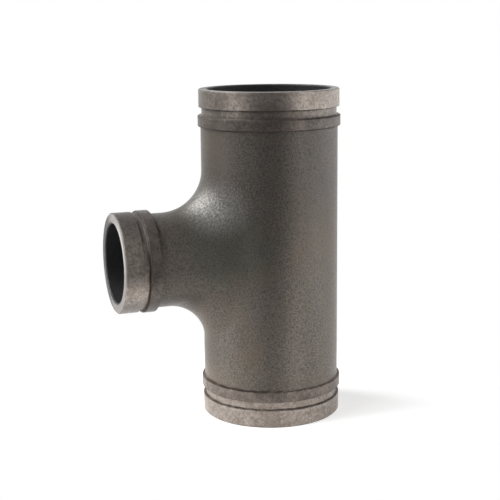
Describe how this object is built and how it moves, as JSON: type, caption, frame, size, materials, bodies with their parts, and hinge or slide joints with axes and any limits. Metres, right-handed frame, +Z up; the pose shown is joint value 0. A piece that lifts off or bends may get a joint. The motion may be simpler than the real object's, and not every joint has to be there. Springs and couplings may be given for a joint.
{
  "type": "grooved reducing tee",
  "caption": "Cast pipe tee with grooved ends: a straight run and a smaller branch at right angles, joined by a generous rounded crotch.",
  "frame": {"origin": "where the run axis meets the branch axis, half way along the run", "axes": "+Z up along the run axis, -X out along the branch axis, so the branch lies to the left in the picture"},
  "size_m": [0.1798, 0.1096, 0.254],
  "materials": {
    "cast_iron": "as-cast, fine sand grain, satin"
  },
  "bodies": {
    "root": {"tee_casting": "cast_iron"}
  },
  "joints": []
}
